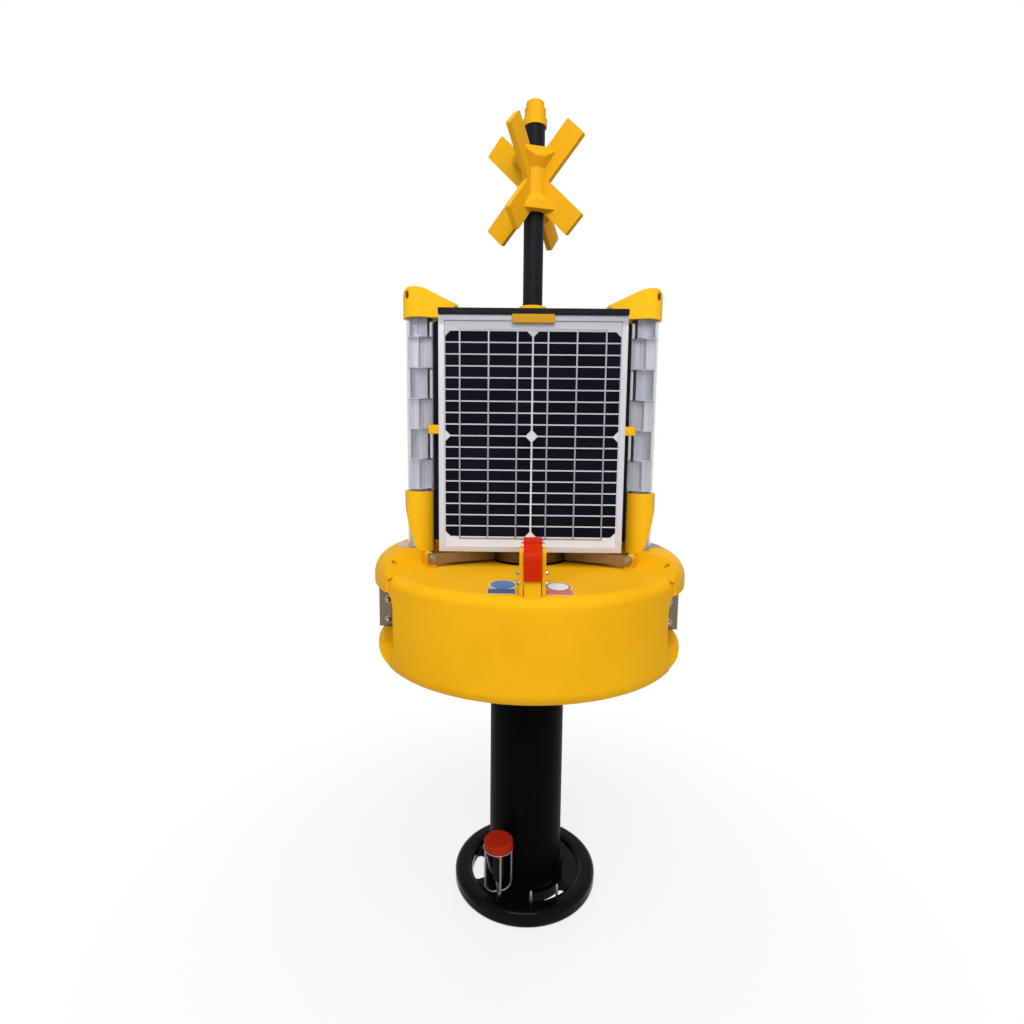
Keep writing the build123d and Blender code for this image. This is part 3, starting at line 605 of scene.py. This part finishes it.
# Nuts of the side plates and the latch: width across the flats and radius of the washer
PLATE_FACE_Y = 0.017
PLATE_BOLTS = ((0.2805, 0.612), (0.2805, 0.571))
PLATE_NUT = (0.0105, 0.0085)
PLATE_NUT_ROLL = 12.0
CHEEK_OUTER_X = 0.02055
LATCH_NUTS = ((-0.270, 0.7114), (-0.270, 0.7280))
LATCH_NUT = (0.0074, 0.0056)
LATCH_NUT_ROLL = 8.0
LATCH_NUT_FLATTEN = 0.55
# Heights on a dome nut, and its dome
NUT_WASHER_EDGE = 0.0011
NUT_SHOULDER = 0.0052
NUT_TOP = 0.0062
DOME_FOOT = 0.0060
DOME_SHARE = 0.46                       # the dome's radius as a share of the width across the flats
DOME_STEPS = 6
# Screws in the caps' tails
TAIL_SCREW = (0.1465, 0.0147, 1.1806)
TAIL_NORMAL = (0.231, 0.973)
TAIL_SCREW_HEAD = (0.0036, 0.0024)      # radius and height
# Studs on the ring
RING_STUDS = ((0.0107, -0.1147), (0.0626, -0.0964))
STUD_FOOT = 0.024
STUD_TOP = 0.057
STUD_R = 0.0026
STUD_TIP_R = 0.6 * STUD_R
STUD_TIP_LENGTH = 0.002
STUD_SIDES = 20
# Hoop round the hydrophone's cap
HOOP_WIRE_R = 0.0011
HOOP_STAND_OFF = 0.4 * HOOP_WIRE_R       # from the cap's wall out to the middle of the wire
HOOP_DROP = 0.0170                       # from the cap's top down to the hoop
HOOP_SIDES = 48
HOOP_WIRE_SIDES = 12


def add_hex_bolt(shape, matrix, across, height, washer_r):
    """Washer, and hexagon head with a turned chamfer."""
    corner = across / math.sqrt(3)
    top = WASHER + height
    washer = ((0, 0), (washer_r, 0), (washer_r, WASHER * 0.7), (washer_r * 0.95, WASHER), (0, WASHER))
    head = ((0, WASHER), (corner, WASHER), (corner, top - height * 0.22), (corner * 0.86, top), (0, top))
    turn_about(shape, washer, WASHER_SIDES, matrix)
    turn_about(shape, head, HEXAGON, matrix)


def add_dome_nut(shape, matrix, across, washer_r):
    """Washer, hexagon and a round cap."""
    corner = across / math.sqrt(3)
    washer = ((0, 0), (washer_r, 0), (washer_r, NUT_WASHER_EDGE), (washer_r * 0.94, WASHER), (0, WASHER))
    nut = ((0, WASHER), (corner, WASHER), (corner, NUT_SHOULDER), (corner * 0.88, NUT_TOP), (0, NUT_TOP))
    dome_r = across * DOME_SHARE
    dome = [(0, DOME_FOOT), (dome_r, DOME_FOOT)]
    for step in range(1, DOME_STEPS):
        angle = math.pi / 2 * step / DOME_STEPS
        dome.append((dome_r * math.cos(angle), DOME_FOOT + dome_r * math.sin(angle)))
    dome.append((0, DOME_FOOT + dome_r))
    turn_about(shape, washer, WASHER_SIDES, matrix)
    turn_about(shape, nut, HEXAGON, matrix)
    turn_about(shape, dome, ROUND_SIDES, matrix)


def add_pan_head(shape, matrix, radius, height):
    """Round screw head with a rolled edge and a socket in it."""
    edge = ((0, 0), (radius, 0), (radius, height * 0.45), (radius * 0.9, height * 0.8),
            (radius * 0.68, height))
    socket = ((radius * 0.5, height), (radius * 0.5, height * 0.55), (0, height * 0.5))
    turn_about(shape, edge + socket, ROUND_SIDES, matrix)


def make_fasteners(materials):
    """Bolts of the straps, nuts of the side plates and the latch, and screws in the caps' tails."""
    straps = bmesh.new()
    plates = bmesh.new()
    tails = bmesh.new()
    nuts = bmesh.new()
    for side in SIDES:
        for end in SIDES:
            normal = Vector((-side * STRAP_NORMAL[0], end * STRAP_NORMAL[1], 0))
            place = Vector((side * STRAP_TIP[0], end * STRAP_TIP[1], STRAP_TIP[2])) + normal * STRAP_HALF
            add_hex_bolt(straps, facing(place, normal, STRAP_BOLT_ROLL * side), *STRAP_BOLT)
            for x, z in PLATE_BOLTS:
                seat = facing((side * x, end * PLATE_FACE_Y, z), (0, end, 0), PLATE_NUT_ROLL)
                add_dome_nut(plates, seat, *PLATE_NUT)
            place = (side * TAIL_SCREW[0], end * TAIL_SCREW[1], TAIL_SCREW[2])
            normal = (-side * TAIL_NORMAL[0], end * TAIL_NORMAL[1], 0)
            add_pan_head(tails, facing(place, normal), *TAIL_SCREW_HEAD)
        for y, z in LATCH_NUTS:
            seat = facing((side * CHEEK_OUTER_X, y, z), (side, 0, 0), LATCH_NUT_ROLL)
            add_dome_nut(nuts, seat @ Matrix.Diagonal((1, 1, LATCH_NUT_FLATTEN, 1)), *LATCH_NUT)
    steel = [materials["stainless_steel"]]
    finish_piece("strap_bolts", straps, steel)
    finish_piece("side_plate_nuts", plates, steel)
    # painted shade: the screws in the caps' tails take the dark plate steel, standing in for the dark spots
    # at the tails' ends
    finish_piece("cap_tail_screws", tails, [materials["plate_steel"]])
    finish_piece("latch_nuts", nuts, steel)


def make_studs(materials):
    studs = bmesh.new()
    profile = ((0, STUD_FOOT), (STUD_R, STUD_FOOT), (STUD_R, STUD_TOP - STUD_TIP_LENGTH),
               (STUD_TIP_R, STUD_TOP), (0, STUD_TOP))
    for x, y in RING_STUDS:
        turn_about(studs, profile, STUD_SIDES, facing((x, y, 0), (0, 0, 1)))
    finish_piece("ring_studs", studs, [materials["stainless_steel"]])


def make_hoop(materials):
    """Wire hoop round the hydrophone's cap; its profile ends where it starts, and the seam is joined."""
    low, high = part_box("hydrophone_cap")
    hoop_r = (high.x - low.x) / 2 + HOOP_STAND_OFF
    wire = circle(HOOP_WIRE_SIDES)
    profile = [(hoop_r + HOOP_WIRE_R * x, HOOP_WIRE_R * y) for x, y in wire + wire[:1]]
    middle = ((low.x + high.x) / 2, (low.y + high.y) / 2, high.z - HOOP_DROP)
    hoop = bmesh.new()
    turn_about(hoop, profile, HOOP_SIDES, facing(middle, (0, 0, 1)))
    bmesh.ops.remove_doubles(hoop, verts=hoop.verts, dist=JOIN_DISTANCE)
    finish_piece("hydrophone_hoop", hoop, [materials["cage_steel"]])


# Solar panel conductors

CELL_WIDTH = 0.156
BUS_SHARES = (-1 / 3, 0.0, 1 / 3)       # places across a cell, as shares of its width from its middle
BUS_WIDTH = 0.0026
BUS_THICKNESS = 0.00035
RIBBON_DROP = 0.0040                    # from the cells down, or up, to the cross ribbon
RIBBON_WIDTH = 0.0022
RIBBON_SINK = 0.0004                    # how far the cross ribbon reaches back beyond the cells' face
CONDUCTOR_EDGE = 0.0001


def make_conductors(materials):
    """Bus bars down the cells and the ribbons that join them above and below."""
    for end, out in (("front", -1), ("back", 1)):
        low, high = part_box("panel_cells_" + end)
        face = low.y if out < 0 else high.y
        near, far = sorted((face, face + out * BUS_THICKNESS))
        ribbon_near, ribbon_far = sorted((face - out * RIBBON_SINK, face + out * BUS_THICKNESS))
        column_middle = (high.x - CELL_WIDTH / 2, low.x + CELL_WIDTH / 2)
        bus_x = [middle + share * CELL_WIDTH for middle in column_middle for share in BUS_SHARES]
        left, right = min(bus_x) - BUS_WIDTH / 2, max(bus_x) + BUS_WIDTH / 2
        foot, head = low.z - RIBBON_DROP, high.z + RIBBON_DROP
        shape = bmesh.new()
        for x in bus_x:
            add_strip(shape, (x - BUS_WIDTH / 2, near, foot), (x + BUS_WIDTH / 2, far, head), CONDUCTOR_EDGE)
        for z in (foot, head):
            add_strip(shape, (left, ribbon_near, z - RIBBON_WIDTH / 2),
                      (right, ribbon_far, z + RIBBON_WIDTH / 2), CONDUCTOR_EDGE)
        finish_piece("panel_conductors_" + end, shape, [materials["tinned_copper"]])


# Blank stickers and labels

ABOVE_FLOAT = 1.0                        # a height over the whole float
STICKER_LIFT = 0.0003
PATCH_THICKNESS = 0.00025
PATCH_RINGS = 6
CORNER_R = 0.002
CORNER_STEPS = 6
DISC_STEPS = 48
DISC_WIDTH = 0.045
DISC_LENGTH = 0.058
DISC_RINGS = (1.0, 0.93, 0.78)           # white edge, rim and field, as shares of the disc
DISC_LIFTS = (0.7, 1.7, 2.7)             # their heights, in sticker lifts
BAR_SIZE = (0.0435, 0.028)
BAR_EDGE = 0.0016
BAR_LIFTS = (0.7, 1.5)                   # heights of the bar's white edge and its field, in sticker lifts
# Inks: name, colour and its shade
INKS = (
    ("sticker_white", (0.80, 0.81, 0.83), (0.73, 0.74, 0.77)),
    ("sticker_blue", (0.060, 0.170, 0.42), (0.045, 0.140, 0.36)),
    ("sticker_navy", (0.014, 0.075, 0.25), (0.011, 0.060, 0.20)),
    ("sticker_red", (0.42, 0.030, 0.035), (0.36, 0.024, 0.028)),
    ("sticker_rose", (0.60, 0.150, 0.120), (0.54, 0.120, 0.095)),
    ("label_slate", (0.135, 0.130, 0.190), (0.100, 0.095, 0.145)),
    ("label_grey", (0.42, 0.41, 0.38), (0.36, 0.35, 0.32)),
)
WHITE_INK, BLUE_INK, NAVY_INK, RED_INK, ROSE_INK, SLATE_INK, GREY_INK = range(len(INKS))
# Deck stickers: name, middle of the disc, middle of the bar, and inks of the disc's rim, the disc and the bar
STICKERS = (
    ("sticker_left", (-0.0475, -0.216), (-0.0485, -0.2565), BLUE_INK, BLUE_INK, NAVY_INK),
    ("sticker_right", (0.0437, -0.226), (0.0437, -0.2600), RED_INK, WHITE_INK, ROSE_INK),
)
# Ear labels: name, middle, size, ink
EAR_LABELS = (
    ("ear_label_right", (0.2570, 0.034), (0.030, 0.050), SLATE_INK),
    ("ear_label_left", (-0.2530, 0.012), (0.026, 0.046), GREY_INK),
)


def float_heights():
    """Function that gives the height of the float's upper surface at a place."""
    node = NODES["float_body"]
    places = [node.matrix_world @ vertex.co for vertex in node.data.vertices]
    surface = BVHTree.FromPolygons(places, [tuple(polygon.vertices) for polygon in node.data.polygons])

    def height_at(x, y):
        return surface.ray_cast(Vector((x, y, ABOVE_FLOAT)), Vector((0, 0, -1)))[0].z

    return height_at


def rounded_outline(width, length):
    """Points round a rectangle with round corners, about the origin."""
    points = []
    for quarter, (sx, sy) in enumerate(((1, 1), (-1, 1), (-1, -1), (1, -1))):
        for step in range(CORNER_STEPS + 1):
            angle = math.radians(90 * quarter + 90 * step / CORNER_STEPS)
            points.append((sx * (width / 2 - CORNER_R) + CORNER_R * math.cos(angle),
                           sy * (length / 2 - CORNER_R) + CORNER_R * math.sin(angle)))
    return points


def add_patch(shape, outline, centre, lift, height_at, ink):
    """Thin patch that lies on a surface: rings of points from the middle out, then its edge down."""
    cx, cy = centre
    count = len(outline)

    def point(x, y, rise):
        return shape.verts.new((cx + x, cy + y, height_at(cx + x, cy + y) + rise))

    loops = []
    for ring in range(1, PATCH_RINGS + 1):
        share = ring / PATCH_RINGS
        loops.append([point(x * share, y * share, lift + PATCH_THICKNESS) for x, y in outline])
    foot = [point(x, y, lift) for x, y in outline]
    loops.append(foot)
    middle = point(0, 0, lift + PATCH_THICKNESS)
    faces = [shape.faces.new(foot[::-1])]
    for step in range(count):
        after = (step + 1) % count
        faces.append(shape.faces.new((middle, loops[0][step], loops[0][after])))
        for inner, outer in zip(loops, loops[1:]):
            faces.append(shape.faces.new((inner[step], outer[step], outer[after], inner[after])))
    for face in faces:
        face.material_index = ink


def make_stickers():
    """Two blank stickers on the deck, each a disc and a bar, and a blank label on each ear."""
    inks = [print_material(*ink) for ink in INKS]
    height_at = float_heights()
    for name, disc_place, bar_place, rim_ink, disc_ink, bar_ink in STICKERS:
        shape = bmesh.new()
        for scale, lift, ink in zip(DISC_RINGS, DISC_LIFTS, (WHITE_INK, rim_ink, disc_ink)):
            half_width, half_length = DISC_WIDTH / 2 * scale, DISC_LENGTH / 2 * scale
            outline = [(x * half_width, y * half_length) for x, y in circle(DISC_STEPS)]
            add_patch(shape, outline, disc_place, STICKER_LIFT * lift, height_at, ink)
        for grow, lift, ink in zip((BAR_EDGE, 0.0), BAR_LIFTS, (WHITE_INK, bar_ink)):
            outline = rounded_outline(BAR_SIZE[0] + grow, BAR_SIZE[1] + grow)
            add_patch(shape, outline, bar_place, STICKER_LIFT * lift, height_at, ink)
        finish_piece(name, shape, inks)
    for name, place, size, ink in EAR_LABELS:
        shape = bmesh.new()
        add_patch(shape, rounded_outline(*size), place, STICKER_LIFT, height_at, ink)
        finish_piece(name, shape, inks)


make_camera()
make_world()
make_lamps()
make_floor()
all_materials = make_materials()
dress_nodes(all_materials)
make_fasteners(all_materials)
make_studs(all_materials)
make_hoop(all_materials)
make_conductors(all_materials)
make_stickers()
bpy.context.scene.view_settings.view_transform = "Standard"
